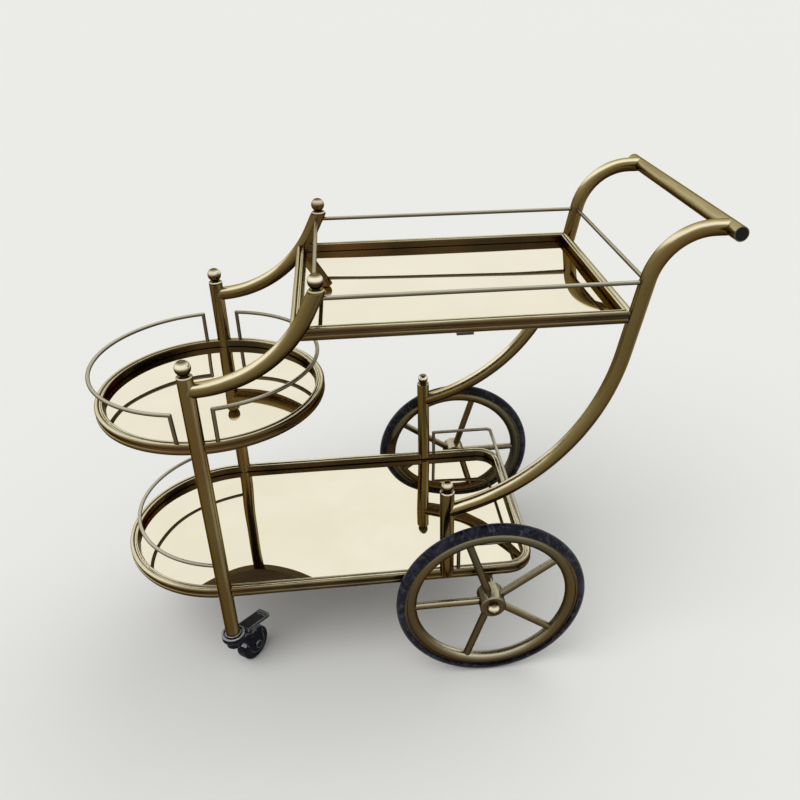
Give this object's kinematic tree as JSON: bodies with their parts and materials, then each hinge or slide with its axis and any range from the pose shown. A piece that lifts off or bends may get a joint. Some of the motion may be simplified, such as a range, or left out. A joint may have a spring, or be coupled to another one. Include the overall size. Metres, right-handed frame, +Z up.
{
  "type": "serving trolley",
  "caption": "Wheeled serving trolley: bent tube frame with mirror trays at three levels, wire galleries, large spoked wheels at the handle end and swivel casters in front.",
  "frame": {"origin": "on the floor under the middle of the trolley's overall box", "axes": "+X towards the handle, +Y to the right of a person who pushes it from the handle, +Z up"},
  "size_m": [0.8982, 0.4872, 0.7332],
  "materials": {
    "tube_brass": "polished, lightly worn",
    "rail_brass": "polished, lightly worn",
    "wire_brass": "satin, worn",
    "wheel_brass": "dull with dust",
    "mirror": "mirror",
    "board": "matt",
    "axle_steel": "satin",
    "tyre": "matt with dust",
    "caster_metal": "polished",
    "caster_rubber": "matt",
    "caster_plastic": "matt",
    "pedal_black": "satin",
    "plug_black": "matt",
    "clip_metal": "satin"
  },
  "bodies": {
    "frame": {"front_post_left": "tube_brass", "front_post_right": "tube_brass", "front_arc_left": "tube_brass", "front_arc_right": "tube_brass", "back_post_left": "tube_brass", "back_post_right": "tube_brass", "back_tube_left": "tube_brass", "back_tube_right": "tube_brass", "handle_bar": "tube_brass", "handle_plugs": "plug_black", "front_finials": "tube_brass", "arc_finials": "tube_brass", "back_finials": "tube_brass", "lower_rail": "rail_brass", "lower_mirror": "mirror", "lower_board": "board", "middle_rail": "rail_brass", "middle_mirror": "mirror", "middle_board": "board", "upper_rail": "rail_brass", "upper_mirror": "mirror", "upper_board": "board", "mirror_clips": "clip_metal", "middle_front_wire": "wire_brass", "middle_back_wire": "wire_brass", "lower_front_wire": "wire_brass", "lower_back_wire": "wire_brass", "upper_left_wire": "wire_brass", "upper_right_wire": "wire_brass", "upper_front_wire": "wire_brass", "upper_back_wire": "wire_brass", "axle": "axle_steel", "axle_brackets": "tube_brass", "axle_sleeves": "axle_steel", "axle_nuts": "tube_brass", "caster_stem_left": "caster_metal", "caster_stem_right": "caster_metal"},
    "wheel_left": {"wheel_rim_left": "wheel_brass", "wheel_tyre_left": "tyre", "wheel_spokes_left": "wheel_brass", "wheel_hub_left": "wheel_brass"},
    "caster_fork_left": {"caster_hood_left": "caster_metal", "caster_axle_left": "caster_metal"},
    "caster_wheel_left": {"caster_tyre_left": "caster_rubber", "caster_core_left": "caster_plastic"},
    "pedal_left": {"brake_pedal_left": "pedal_black"},
    "wheel_right": {"wheel_rim_right": "wheel_brass", "wheel_tyre_right": "tyre", "wheel_spokes_right": "wheel_brass", "wheel_hub_right": "wheel_brass"},
    "caster_fork_right": {"caster_hood_right": "caster_metal", "caster_axle_right": "caster_metal"},
    "caster_wheel_right": {"caster_tyre_right": "caster_rubber", "caster_core_right": "caster_plastic"},
    "pedal_right": {"brake_pedal_right": "pedal_black"}
  },
  "joints": [
    {"name": "wheel_roll_left", "type": "hinge", "parent": "frame", "child": "wheel_left", "pos_m": [0.13889, -0.214, 0.15], "axis": [0, 1, 0], "continuous": true},
    {"name": "caster_swivel_left", "type": "hinge", "parent": "frame", "child": "caster_fork_left", "pos_m": [-0.27411, -0.17, 0.075], "axis": [0, 0, 1], "continuous": true},
    {"name": "caster_roll_left", "type": "hinge", "parent": "caster_fork_left", "child": "caster_wheel_left", "pos_m": [-0.25232, -0.13887, 0.029], "axis": [-0.8192, 0.5736, 0], "continuous": true},
    {"name": "brake_left", "type": "hinge", "parent": "caster_fork_left", "child": "pedal_left", "pos_m": [-0.25748, -0.14624, 0.0665], "axis": [-0.8192, 0.5736, 0], "range_deg": [0, 7]},
    {"name": "wheel_roll_right", "type": "hinge", "parent": "frame", "child": "wheel_right", "pos_m": [0.13889, 0.214, 0.15], "axis": [0, 1, 0], "continuous": true},
    {"name": "caster_swivel_right", "type": "hinge", "parent": "frame", "child": "caster_fork_right", "pos_m": [-0.27411, 0.17, 0.075], "axis": [0, 0, 1], "continuous": true},
    {"name": "caster_roll_right", "type": "hinge", "parent": "caster_fork_right", "child": "caster_wheel_right", "pos_m": [-0.25232, 0.20113, 0.029], "axis": [-0.8192, 0.5736, 0], "continuous": true},
    {"name": "brake_right", "type": "hinge", "parent": "caster_fork_right", "child": "pedal_right", "pos_m": [-0.25748, 0.19376, 0.0665], "axis": [-0.8192, 0.5736, 0], "range_deg": [0, 7]}
  ]
}
